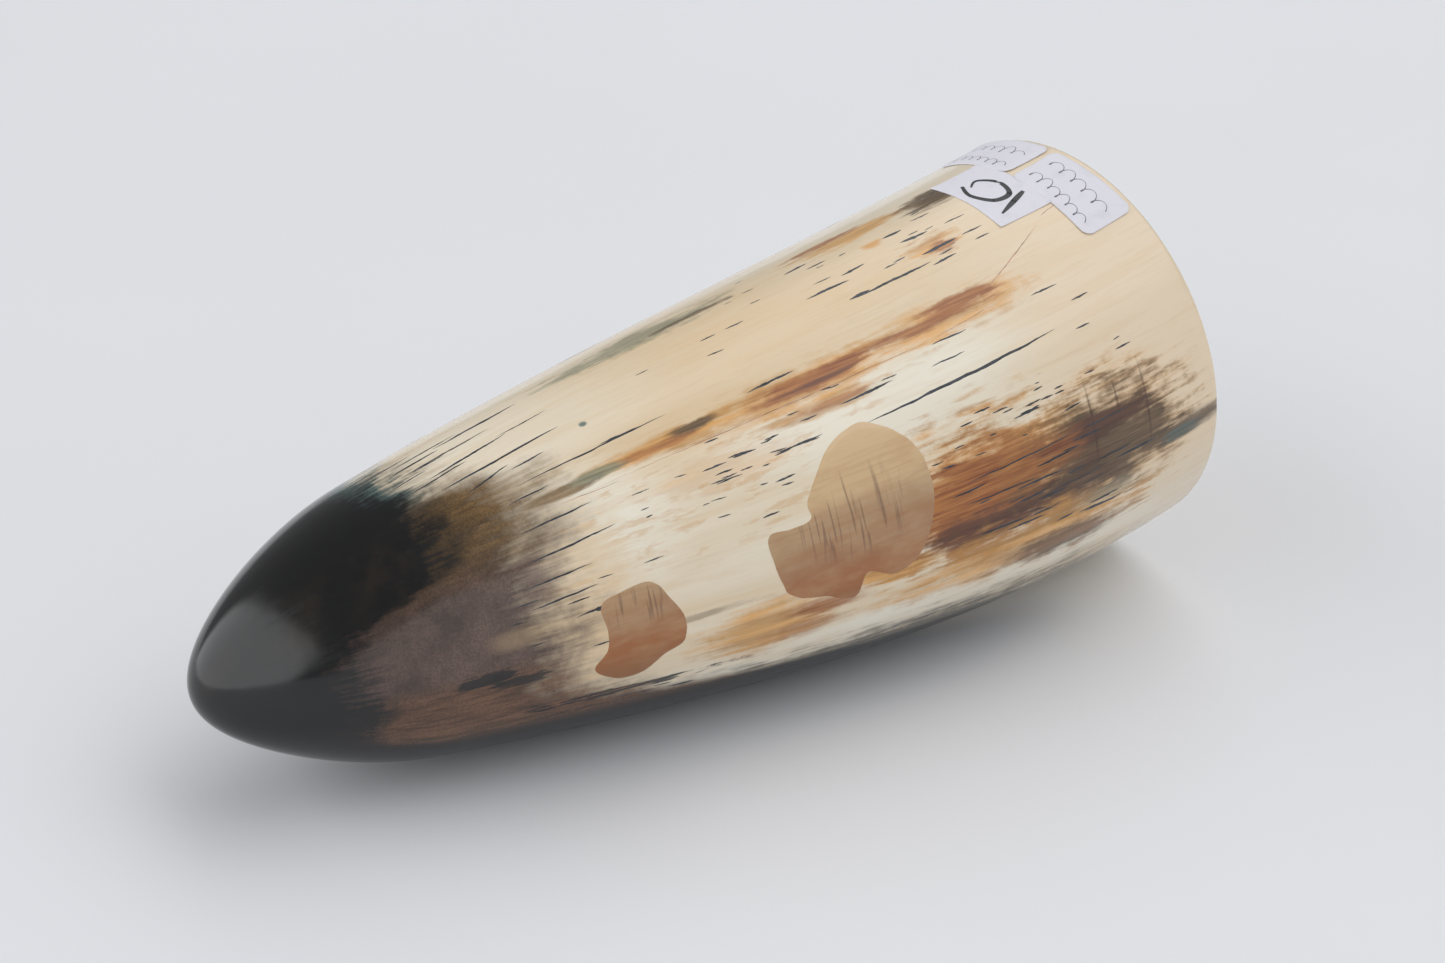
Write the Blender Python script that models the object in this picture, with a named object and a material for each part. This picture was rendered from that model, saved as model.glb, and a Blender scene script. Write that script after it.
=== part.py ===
"""Polished tip of a mammoth tusk, lying on its belly.

The body is one solid piece of dentine with a blunt closed nose and a sawn wide end.
Two islands of the outer bark and six mineral crack fillings lie flush in it, and three
small paper labels are stuck on near the sawn end.

Lengths are in metres, +Z is up. The tusk lies along X with its nose towards -X, and its
centre line bends towards +Y. A place on its skin is a run along the centre line from the
sawn face and an angle round it, 0 on top and positive towards the front (-Y).
"""
import bpy
import bmesh
from math import cos, pi, radians, sin, sqrt
from mathutils import Matrix, Vector

MM = 0.001
CLEARANCE = 0.3 * MM        # gap kept between pieces that touch

# Tusk body
LENGTH = 150 * MM           # along the centre line, from the sawn face to the nose
SAWN_RADIUS = 30.25 * MM
SLIMMING = 16.8 * MM        # radius lost by the nose, growing with the square of the run
NOSE = 29.8 * MM            # length over which the end is rounded like an ellipse
OVAL = 0.015                # share by which the body is wider than it is tall
BEND = 0.790                # turn of the centre line at the sawn face, radians per length
STRAIGHTENING = 0.604       # how much of that turn is taken back towards the nose
CUT_SLANT = 0.154           # slope of the saw cut across the tusk
CUT_LEAN = 0.028            # slope of the saw cut from bottom to top
RIM = 1.2 * MM              # rounding of the sawn edge
NERVE_RADIUS = 0.9 * MM     # nerve canal in the middle of the sawn face
NERVE_DEPTH = 24 * MM
NOSE_DIP = radians(5.55)    # how far the centre line drops towards the nose at rest
BELLY_FLAT = 0.88 * MM      # depth of the worn flat that the tusk rests on, 18 mm by 60 mm

SIDES = 48
BODY_RINGS = 22
NOSE_RINGS = 9
RIM_RINGS = 3

# Bark islands: middle as (run, angle), then the outline round it in millimetres,
# x towards the nose and y round the tusk towards the front and below
ISLAND_THICKNESS = 0.8 * MM
LARGE_ISLAND = ((62.6 * MM, radians(75.6)), [
    (6.0, -5.2), (0.8, -10.7), (-4.6, -12.2), (-9.2, -9.2), (-11.6, -5.2), (-11.8, 1.5),
    (-9.2, 8.2), (-5.0, 10.4), (-0.8, 8.6), (1.2, 12.2), (5.4, 10.4), (10.0, 8.9),
    (12.1, 6.0), (13.1, -1.5), (9.6, -1.8), (6.5, -2.2)])
SMALL_ISLAND = ((95.5 * MM, radians(89.7)), [
    (4.6, -5.8), (1.2, -6.8), (-2.9, -6.8), (-5.0, -3.8), (-6.7, -0.4), (-6.4, 3.2),
    (-3.7, 4.5), (-0.4, 6.8), (3.3, 6.8), (6.5, 4.1), (4.6, 1.3), (4.3, -1.9)])

# Crack fillings, each a sliver: middle as (run, angle), length, slope along the run
CRACK_WIDTH = 0.7 * MM
CRACK_DEPTH = 1.6 * MM
CRACKS = [
    ((35.5 * MM, radians(48.3)), 26 * MM, 0.02),
    ((39.5 * MM, radians(15.3)), 17 * MM, -0.02),
    ((97.0 * MM, radians(25.4)), 20 * MM, 0.03),
    ((103.5 * MM, radians(12.0)), 19 * MM, 0.03),
    ((101.5 * MM, radians(52.8)), 13 * MM, 0.05),
    ((104.0 * MM, radians(-11.5)), 17 * MM, -0.05)]

# Labels: middle as (run, angle), corner radius, turn on the skin
LABEL_SIZE = (10.0 * MM, 16.0 * MM)     # along the tusk, round the tusk
LABEL_THICKNESS = 0.25 * MM
LABELS = {
    "square_label": ((16.9 * MM, radians(0.5)), 0.1 * MM, radians(-1)),
    "price_label": ((6.6 * MM, radians(16.0)), 1.5 * MM, radians(2)),
    "stock_label": ((6.4 * MM, radians(-17.0)), 1.5 * MM, radians(-1))}

# Colour, roughness
IVORY = ((0.79, 0.68, 0.50), 0.22)
BARK = ((0.45, 0.27, 0.13), 0.25)
MINERAL = ((0.05, 0.07, 0.08), 0.35)
PAPER = ((0.82, 0.82, 0.84), 0.60)


def clear_scene():
    for thing in list(bpy.data.objects):
        bpy.data.objects.remove(thing, do_unlink=True)


def finish(name, look):
    """A material of its own for one piece."""
    colour, roughness = look
    material = bpy.data.materials.new(name)
    material.use_nodes = True
    shader = material.node_tree.nodes["Principled BSDF"]
    shader.inputs["Base Color"].default_value = (*colour, 1.0)
    shader.inputs["Roughness"].default_value = roughness
    shader.inputs["Metallic"].default_value = 0.0
    return material


def heading(run):
    """How far the centre line has turned towards +Y."""
    share = run / LENGTH
    return BEND * share - STRAIGHTENING * share ** 2


def centre_line(run, steps=16):
    """Point of the centre line as (along, across), by Simpson's rule over its heading."""
    along = across = 0.0
    for step in range(steps + 1):
        weight = 1 if step in (0, steps) else 4 if step % 2 else 2
        turn = heading(run * step / steps)
        along += weight * cos(turn)
        across += weight * sin(turn)
    scale = run / steps / 3
    return along * scale, across * scale


def girth(run):
    """Radius of the body: a slimming cone whose end is rounded like an ellipse."""
    body = SAWN_RADIUS - SLIMMING * (run / LENGTH) ** 2
    into_nose = max(0.0, 1 - (LENGTH - run) / NOSE)
    return body * sqrt(max(0.0, 1 - into_nose ** 2))


def place(run, angle, radius):
    """Point at a radius from the centre line. Sections near the sawn end follow its slant."""
    side = -radius * (1 + OVAL) * sin(angle)
    up = radius * (1 - OVAL) * cos(angle)
    turn = heading(run)
    along, across = centre_line(run)
    follow_cut = (1 - run / LENGTH) ** 3
    along += follow_cut * (CUT_LEAN * up - CUT_SLANT * side) - side * sin(turn)
    return Vector((-along, across + side * cos(turn), up))


def solid(name, mesh, look, parent):
    """Turns a bmesh into a piece with all its faces pointing outwards."""
    bmesh.ops.recalc_face_normals(mesh, faces=mesh.faces[:])
    data = bpy.data.meshes.new(name)
    mesh.to_mesh(data)
    mesh.free()
    data.shade_smooth()
    data.set_sharp_from_angle(angle=radians(35))
    data.materials.append(finish(name, look))
    piece = bpy.data.objects.new(name, data)
    bpy.context.collection.objects.link(piece)
    piece.parent = parent
    return piece


def bridge(mesh, first, second):
    """Quads between two closed rings of as many vertices."""
    for index in range(len(first)):
        after = (index + 1) % len(first)
        mesh.faces.new((first[index], first[after], second[after], second[index]))


def cap(mesh, ring, point):
    """Triangles from a closed ring to one point."""
    for index in range(len(ring)):
        mesh.faces.new((ring[index], ring[(index + 1) % len(ring)], point))


def body_profile():
    """Run and radius of each ring, from the mouth of the nerve canal to just before the nose."""
    profile = [(0.0, NERVE_RADIUS)]
    for step in range(RIM_RINGS):
        turn = step / RIM_RINGS * pi / 2
        run = RIM * (1 - cos(turn))
        profile.append((run, girth(run) - RIM * (1 - sin(turn))))
    for step in range(BODY_RINGS):
        run = RIM + (LENGTH - NOSE - RIM) * step / BODY_RINGS
        profile.append((run, girth(run)))
    for step in range(NOSE_RINGS):
        run = LENGTH - NOSE * (1 - sin(step / NOSE_RINGS * pi / 2))
        profile.append((run, girth(run)))
    return profile


def wear_belly(mesh):
    """Cuts the lowest part of the body back to a flat, level at rest."""
    lie_down = Matrix.Rotation(-NOSE_DIP, 4, "Y")
    stand_up = lie_down.inverted()
    resting = [lie_down @ vertex.co for vertex in mesh.verts]
    flat = min(point.z for point in resting) + BELLY_FLAT
    for vertex, point in zip(mesh.verts, resting):
        if point.z < flat:
            point.z = flat
            vertex.co = stand_up @ point


def dentine_core(parent):
    mesh = bmesh.new()
    rings = []
    for run, radius in body_profile():
        angles = [2 * pi * side / SIDES for side in range(SIDES)]
        rings.append([mesh.verts.new(place(run, angle, radius)) for angle in angles])
    for first, second in zip(rings, rings[1:]):
        bridge(mesh, first, second)
    cap(mesh, rings[0], mesh.verts.new(place(NERVE_DEPTH, 0.0, 0.0)))
    cap(mesh, rings[-1], mesh.verts.new(place(LENGTH, 0.0, 0.0)))
    wear_belly(mesh)
    return solid("dentine_core", mesh, IVORY, parent)


def smooth_loop(points, steps=3):
    """Closed Catmull-Rom curve through the points, in metres."""
    loop = []
    for index in range(len(points)):
        a, b, c, d = [Vector(points[(index + k) % len(points)]) * MM for k in (-1, 0, 1, 2)]
        for step in range(steps):
            t = step / steps
            loop.append(0.5 * (2 * b + (c - a) * t + (2 * a - 5 * b + 4 * c - d) * t ** 2
                               + (3 * b - a - 3 * c + d) * t ** 3))
    return loop


def sliver(length, slope, steps=6):
    """Outline of a crack: a slim lens that follows the grain at a slope."""
    def edge(side):
        for step in range(steps):
            x = length * (step / steps - 0.5)
            half = CRACK_WIDTH / 2 * cos(pi * x / length)
            yield Vector((side * x, side * (half + x * slope)))
    return [*edge(1), *edge(-1)]


def rounded_label(corner, turn, steps=3):
    """Outline of a label with rounded corners."""
    half_x, half_y = LABEL_SIZE[0] / 2 - corner, LABEL_SIZE[1] / 2 - corner
    loop = []
    for quarter, (x, y) in enumerate([(1, 1), (-1, 1), (-1, -1), (1, -1)]):
        for step in range(steps + 1):
            angle = (quarter + step / steps) * pi / 2
            loop.append((x * half_x + corner * cos(angle), y * half_y + corner * sin(angle)))
        nx, ny = [(-1, 1), (-1, -1), (1, -1), (1, 1)][quarter]
        for share in (0.25, 0.5, 0.75):
            start = loop[-1]
            goal = (nx * half_x + corner * cos(angle), ny * half_y + corner * sin(angle))
            loop.append(tuple(s + (g - s) * share for s, g in zip(start, goal)))
    return [Vector((x * cos(turn) - y * sin(turn), x * sin(turn) + y * cos(turn)))
            for x, y in loop]


def grow(loop, amount):
    """The outline moved outwards by an amount, along the normal at each of its points."""
    area = sum(a.x * b.y - b.x * a.y for a, b in zip(loop, loop[1:] + loop[:1]))
    outwards = 1 if area > 0 else -1
    grown = []
    for index, point in enumerate(loop):
        ahead = (loop[(index + 1) % len(loop)] - point).normalized()
        behind = (point - loop[index - 1]).normalized()
        tangent = (ahead + behind).normalized()
        normal = outwards * Vector((tangent.y, -tangent.x))
        sharpness = max(0.3, sqrt(max(0.0, (1 + ahead.dot(behind)) / 2)))
        grown.append(point + normal * amount / sharpness)
    return grown


def skin_patch(name, middle, loop, low, high, look, parent, shares=(1.0, 0.66, 0.33)):
    """A slab that follows the skin between two heights over it, inside an outline."""
    run, angle = middle
    mesh = bmesh.new()
    edges = []
    for height in (low, high):
        def lift(x, y):
            reach = girth(run + x)
            return mesh.verts.new(place(run + x, angle + y / reach, reach + height))
        rings = [[lift(p.x * share, p.y * share) for p in loop] for share in shares]
        for outer, inner in zip(rings, rings[1:]):
            bridge(mesh, outer, inner)
        cap(mesh, rings[-1], lift(0.0, 0.0))
        edges.append(rings[0])
    bridge(mesh, *edges)
    return solid(name, mesh, look, parent)


def inlay(name, core, middle, loop, depth, look, parent, shares):
    """A piece flush with the skin, and the recess for it in the core."""
    skin_patch(name, middle, loop, -depth, 0.0, look, parent, shares)
    room = grow(loop, CLEARANCE)
    cutter = skin_patch(name + "_recess", middle, room, -depth - CLEARANCE, 2 * MM, look,
                        parent, shares)
    cutter.hide_render = True
    cutter.display_type = "WIRE"
    cut = core.modifiers.new(name + "_recess", "BOOLEAN")
    cut.operation = "DIFFERENCE"
    cut.object = cutter


def sit_on_floor(tusk, core):
    """Lays the tusk on z = 0 with the middle of its box over the origin."""
    tusk.rotation_euler = (0.0, -NOSE_DIP, 0.0)
    turned = tusk.rotation_euler.to_matrix()
    corners = [turned @ vertex.co for vertex in core.data.vertices]
    low = [min(corner[axis] for corner in corners) for axis in range(3)]
    high = [max(corner[axis] for corner in corners) for axis in range(3)]
    tusk.location = (-(low[0] + high[0]) / 2, -(low[1] + high[1]) / 2, -low[2])


def main():
    clear_scene()
    tusk = bpy.data.objects.new("tusk", None)
    bpy.context.collection.objects.link(tusk)
    core = dentine_core(tusk)
    sit_on_floor(tusk, core)
    for name, (middle, points) in {"bark_island_large": LARGE_ISLAND,
                                   "bark_island_small": SMALL_ISLAND}.items():
        inlay(name, core, middle, smooth_loop(points), ISLAND_THICKNESS, BARK, tusk,
              (1.0, 0.75, 0.5, 0.25))
    for number, (middle, length, slope) in enumerate(CRACKS, start=1):
        inlay(f"crack_filling_{number}", core, middle, sliver(length, slope), CRACK_DEPTH,
              MINERAL, tusk, (1.0, 0.5))
    for name, (middle, corner, turn) in LABELS.items():
        skin_patch(name, middle, rounded_label(corner, turn), CLEARANCE,
                   CLEARANCE + LABEL_THICKNESS, PAPER, tusk)


main()
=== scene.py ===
"""Polished tip of a mammoth tusk on a pale table.

Everything that lies on the tusk is made flat, on a sheet, and wrapped round it by one
Geometry Nodes group. On the sheet X is the run along the centre line from the sawn face,
Y is the way round (0 on top, positive towards the front) and Z is the height over the skin.
"""

import random
from math import cos, pi, radians, sin, sqrt, tau

import bpy
from bpy.props import FloatProperty, FloatVectorProperty, IntProperty, PointerProperty
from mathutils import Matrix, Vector


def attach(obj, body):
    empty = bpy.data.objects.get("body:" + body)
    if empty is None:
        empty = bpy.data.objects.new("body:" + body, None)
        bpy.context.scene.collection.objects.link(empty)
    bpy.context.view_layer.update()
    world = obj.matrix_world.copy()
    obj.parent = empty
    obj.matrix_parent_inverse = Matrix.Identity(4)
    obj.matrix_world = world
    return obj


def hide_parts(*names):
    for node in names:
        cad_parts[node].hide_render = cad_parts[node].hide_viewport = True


bl_info = {
    "name": "Polished Tusk Tip",
    "version": (1, 0, 0),
    "blender": (4, 5, 0),
    "location": "View3D > Sidebar > Tusk",
    "description": "Builds a polished tusk tip with bark islands, filled cracks and paper labels",
    "category": "Object",
}

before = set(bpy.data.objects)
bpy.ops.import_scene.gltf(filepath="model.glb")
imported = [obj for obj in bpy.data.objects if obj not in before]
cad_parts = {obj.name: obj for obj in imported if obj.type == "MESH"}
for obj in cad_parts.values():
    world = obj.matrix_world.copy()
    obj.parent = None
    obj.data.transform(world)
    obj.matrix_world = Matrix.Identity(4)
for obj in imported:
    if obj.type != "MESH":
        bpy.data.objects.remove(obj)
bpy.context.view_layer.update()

MM = 0.001
SHEET_RADIUS = 27 * MM      # radius at which the way round the tusk is measured on the sheet


def rgb(red, green, blue):
    """Linear colour from the usual 0 to 255 values."""
    shares = [value / 255 for value in (red, green, blue)]
    return tuple(s / 12.92 if s <= 0.04045 else ((s + 0.055) / 1.055) ** 2.4 for s in shares)


# ---------------------------------------------------------------- settings

def size(name, description, default):
    return FloatProperty(name=name, description=description, default=default,
                         unit="LENGTH", precision=5)


def share(name, description, default):
    return FloatProperty(name=name, description=description, default=default, precision=4)


def turn(name, description, default):
    return FloatProperty(name=name, description=description, default=radians(default),
                         subtype="ANGLE", unit="ROTATION")


def colour(name, description, default):
    return FloatVectorProperty(name=name, description=description, default=rgb(*default),
                               subtype="COLOR", min=0, max=1)


class TuskShape(bpy.types.PropertyGroup):
    length: size("Length", "Along the centre line, from the sawn face to the nose", 150 * MM)
    sawn_radius: size("Sawn radius", "Radius at the sawn face", 30.25 * MM)
    slimming: size("Slimming", "Radius lost by the nose", 16.8 * MM)
    nose: size("Nose", "Length over which the end is rounded", 29.8 * MM)
    oval: share("Oval", "Share by which the body is wider than tall", 0.015)
    bend: share("Bend", "Turn of the centre line at the sawn face, per length", 0.790)
    straightening: share("Straightening", "Turn taken back towards the nose", 0.604)
    cut_slant: share("Cut slant", "Slope of the saw cut across the tusk", 0.154)
    cut_lean: share("Cut lean", "Slope of the saw cut from bottom to top", 0.028)
    rim: size("Rim", "Rounding of the sawn edge", 1.2 * MM)
    nerve_radius: size("Nerve radius", "Radius of the nerve canal's mouth", 0.9 * MM)
    nerve_depth: size("Nerve depth", "Depth of the nerve canal", 24 * MM)
    nose_dip: turn("Nose dip", "Drop of the centre line towards the nose", 5.55)
    belly_flat: size("Belly flat", "Depth of the worn flat that the tusk rests on", 0.88 * MM)
    sides: IntProperty(name="Sides", description="Faces round the body", default=200, min=24)


class TuskColours(bpy.types.PropertyGroup):
    cream: colour("Cream", "Body of the ivory", (222, 204, 175))
    peach: colour("Peach", "Warm parts of the ivory", (217, 186, 142))
    chalk: colour("Chalk", "Pale parts of the ivory", (236, 230, 214))
    blush: colour("Blush", "Smooth zone at the sawn end", (230, 209, 180))
    orange: colour("Orange", "Edges of the rust stains", (198, 146, 78))
    rust: colour("Rust", "Rust stains", (156, 76, 28))
    umber: colour("Umber", "Dark hearts of the rust stains", (66, 38, 28))
    olive: colour("Olive", "Olive brown stains", (92, 72, 50))
    lichen: colour("Lichen", "Grey green stains", (126, 128, 104))
    teal: colour("Teal", "Blue green stains", (78, 98, 96))
    honey: colour("Honey", "Golden brown between nose and body", (104, 80, 50))
    mauve: colour("Mauve", "Grey brown on the side of the nose", (88, 70, 62))
    chestnut: colour("Chestnut", "Red brown on the underside of the nose", (104, 74, 54))
    soot: colour("Soot", "Black of the nose", (17, 17, 18))
    bark_light: colour("Light bark", "Light parts of the bark islands", (204, 172, 128))
    bark_dark: colour("Dark bark", "Dark parts of the bark islands", (158, 94, 40))
    mineral: colour("Mineral", "Crack fillings", (42, 46, 52))
    hairline: colour("Hairline", "Fine unfilled cracks", (150, 104, 82))
    roughness: share("Roughness", "Roughness of the polish", 0.13)


class LabelSettings(bpy.types.PropertyGroup):
    width: size("Width", "Along the tusk", 10.0 * MM)
    height: size("Height", "Round the tusk", 16.0 * MM)
    thickness: size("Thickness", "Paper and glue", 0.11 * MM)
    corner: size("Corner", "Corner radius of the stock labels", 1.5 * MM)
    paper: colour("Paper", "Paper of the labels", (226, 224, 232))
    pen: colour("Pen", "Ballpoint ink", (92, 86, 98))
    brush: colour("Brush", "Brush ink", (28, 27, 30))


class StageSettings(bpy.types.PropertyGroup):
    azimuth: turn("Azimuth", "Camera's place round the tusk", -47.06)
    elevation: turn("Elevation", "Camera's height over the table", 26.16)
    distance: size("Distance", "From the camera to the tusk", 0.553)
    aim_height: size("Aim height", "Height that the camera looks at", 0.030)
    lens: FloatProperty(name="Lens", description="Focal length in mm", default=100.0)
    table: colour("Table", "Table top", (232, 233, 236))


# ---------------------------------------------------------------- node trees

class Graph:
    """Adds nodes to one tree and joins them. A value may be a socket, a node or a constant."""

    def __init__(self, tree):
        self.tree = tree

    def join(self, value, socket):
        if isinstance(value, bpy.types.Node):
            value = value.outputs[0]
        if isinstance(value, bpy.types.NodeSocket):
            self.tree.links.new(value, socket)
        elif value is not None:
            socket.default_value = value

    def node(self, kind, *values, named=None, **settings):
        node = self.tree.nodes.new(kind)
        for key, value in settings.items():
            setattr(node, key, value)
        for socket, value in zip(node.inputs, values):
            self.join(value, socket)
        for name, value in (named or {}).items():
            self.join(value, node.inputs[name])
        return node

    def math(self, operation, *values):
        return self.node("ShaderNodeMath", *values, operation=operation).outputs[0]

    def mul(self, *values):
        return self.math("MULTIPLY", *values)

    def add(self, *values):
        return self.math("ADD", *values)

    def sub(self, *values):
        return self.math("SUBTRACT", *values)

    def div(self, *values):
        return self.math("DIVIDE", *values)

    def vector(self, operation, *values):
        node = self.node("ShaderNodeVectorMath", operation=operation)
        second = node.inputs["Scale" if operation == "SCALE" else 1]
        for socket, value in zip((node.inputs[0], second), values):
            self.join(value, socket)
        return node.outputs["Value" if operation in ("LENGTH", "DOT_PRODUCT") else "Vector"]

    def xyz(self, x=0.0, y=0.0, z=0.0):
        return self.node("ShaderNodeCombineXYZ", x, y, z).outputs[0]

    def split(self, vector):
        return self.node("ShaderNodeSeparateXYZ", vector).outputs[:3]

    def ramp(self, value, low, high):
        """0 at low, 1 at high, smooth between them; low may be the larger."""
        if low < high:
            ends = (low, high, 0.0, 1.0)
        else:
            ends = (high, low, 1.0, 0.0)
        return self.node("ShaderNodeMapRange", value, *ends,
                         interpolation_type="SMOOTHSTEP").outputs[0]

    def curve(self, value, low, high, points):
        """Value of a drawn curve through (place, height) points."""
        heights = [height for _, height in points]
        bottom, reach = min(heights), (max(heights) - min(heights)) or 1.0
        node = self.node("ShaderNodeFloatCurve")
        drawn = node.mapping.curves[0]
        for index, (place, height) in enumerate(points):
            at = ((place - low) / (high - low), (height - bottom) / reach)
            if index < 2:
                drawn.points[index].location = at
            else:
                drawn.points.new(*at)
        node.mapping.update()
        self.join(self.div(self.sub(value, low), high - low), node.inputs["Value"])
        return self.math("MULTIPLY_ADD", node, reach, bottom)

    def mix(self, factor, first, second):
        """First colour at factor 0, second at 1."""
        node = self.tree.nodes.new("ShaderNodeMix")
        node.data_type = "RGBA"
        for socket, value in zip((node.inputs[0], node.inputs[6], node.inputs[7]),
                                 (factor, first, second)):
            if not isinstance(value, (bpy.types.NodeSocket, float, int)):
                value = (*value[:3], 1.0)
            self.join(value, socket)
        return node.outputs[2]

    def noise(self, vector, scale, detail=2.0, roughness=0.5):
        return self.node("ShaderNodeTexNoise", named={
            "Vector": vector, "Scale": scale, "Detail": detail,
            "Roughness": roughness}).outputs[0]

    def group(self, group, *values):
        kind = "ShaderNodeGroup" if group.bl_idname == "ShaderNodeTree" else "GeometryNodeGroup"
        node = self.tree.nodes.new(kind)
        node.node_tree = group
        for socket, value in zip(node.inputs, values):
            self.join(value, socket)
        return node


def new_group(name, kind, inputs, outputs):
    """An empty group with its sockets. An input is (name, socket type, default or None)."""
    tree = bpy.data.node_groups.new(name, kind)
    for label, socket, default in inputs:
        made = tree.interface.new_socket(name=label, in_out="INPUT", socket_type=socket)
        if default is not None:
            made.default_value = default
    for label, socket in outputs:
        tree.interface.new_socket(name=label, in_out="OUTPUT", socket_type=socket)
    graph = Graph(tree)
    return tree, graph, graph.node("NodeGroupInput").outputs


FLOAT, VECTOR = "NodeSocketFloat", "NodeSocketVector"
GEOMETRY, MATERIAL = "NodeSocketGeometry", "NodeSocketMaterial"


def wrap_group(shape):
    """Wraps flat geometry round the tusk and notes the place of each point as "grain"."""
    sizes = [("Length", shape.length), ("Sawn Radius", shape.sawn_radius),
             ("Slimming", shape.slimming), ("Nose", shape.nose), ("Oval", shape.oval),
             ("Cut Slant", shape.cut_slant), ("Cut Lean", shape.cut_lean),
             ("Sheet Radius", SHEET_RADIUS)]
    tree, g, given = new_group(
        "Wrap on tusk", "GeometryNodeTree",
        [("Geometry", GEOMETRY, None), ("Centre Line", GEOMETRY, None)]
        + [(name, FLOAT, value) for name, value in sizes], [("Geometry", GEOMETRY)])
    flat, centre_line, length, sawn, slimming, nose, oval, slant, lean, sheet = given[:10]
    run, way, lift = g.split(g.node("GeometryNodeInputPosition"))
    angle = g.div(way, sheet)
    along = g.div(run, length)

    body = g.sub(sawn, g.mul(slimming, g.math("POWER", along, 2.0)))
    into_nose = g.math("MAXIMUM", 0.0, g.sub(1.0, g.div(g.sub(length, run), nose)))
    rounding = g.math("SQRT", g.sub(1.0, g.math("MINIMUM", 1.0,
                                                g.math("POWER", into_nose, 2.0))))
    girth = g.mul(body, rounding)
    reach = g.add(girth, lift)

    depth = g.div(reach, girth)
    grain = g.vector("SCALE", g.xyz(run, g.mul(g.mul(depth, sheet), g.math("COSINE", angle)),
                                    g.mul(g.mul(depth, sheet), g.math("SINE", angle))), 1 / MM)
    noted = g.node("GeometryNodeStoreNamedAttribute", data_type="FLOAT_VECTOR", domain="POINT",
                   named={"Geometry": flat, "Name": "grain", "Value": grain})

    side = g.mul(g.mul(reach, g.add(1.0, oval)), g.mul(-1.0, g.math("SINE", angle)))
    up = g.mul(g.mul(reach, g.sub(1.0, oval)), g.math("COSINE", angle))
    line = g.node("GeometryNodeSampleCurve", mode="LENGTH", use_all_curves=True,
                  named={"Curves": centre_line, "Length": run})
    sideways = g.vector("NORMALIZE", g.vector(
        "CROSS_PRODUCT", line.outputs["Tangent"], (0.0, 0.0, 1.0)))
    follow_cut = g.math("POWER", g.sub(1.0, along), 3.0)
    shift = g.mul(follow_cut, g.sub(g.mul(slant, side), g.mul(lean, up)))
    place = g.vector("ADD", line.outputs["Position"], g.vector(
        "ADD", g.vector("SCALE", sideways, side), g.xyz(shift, 0.0, up)))
    moved = g.node("GeometryNodeSetPosition", named={"Geometry": noted, "Position": place})
    g.node("NodeGroupOutput", moved)
    return tree


def hand_over(g, geometry, material):
    """Ends a tree with real geometry in its material."""
    real = g.node("GeometryNodeRealizeInstances", geometry)
    g.node("NodeGroupOutput", g.node("GeometryNodeSetMaterial", real,
                                     named={"Material": material}))


def wrapped_tree(wrap):
    """Tree that wraps a flat mesh, closes its seam and gives it its material."""
    tree, g, given = new_group(
        "Wrapped piece", "GeometryNodeTree",
        [("Geometry", GEOMETRY, None), ("Centre Line", "NodeSocketObject", None),
         ("Material", MATERIAL, None), ("Weld", FLOAT, 0.001 * MM)], [("Geometry", GEOMETRY)])
    flat, centre_line, material, weld = given[:4]
    line = g.node("GeometryNodeObjectInfo", centre_line)
    wrapped = g.group(wrap, flat, line.outputs["Geometry"])
    welded = g.node("GeometryNodeMergeByDistance", wrapped, named={"Distance": weld})
    smooth = g.node("GeometryNodeSetShadeSmooth", welded)
    hand_over(g, smooth, material)
    return tree


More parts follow.
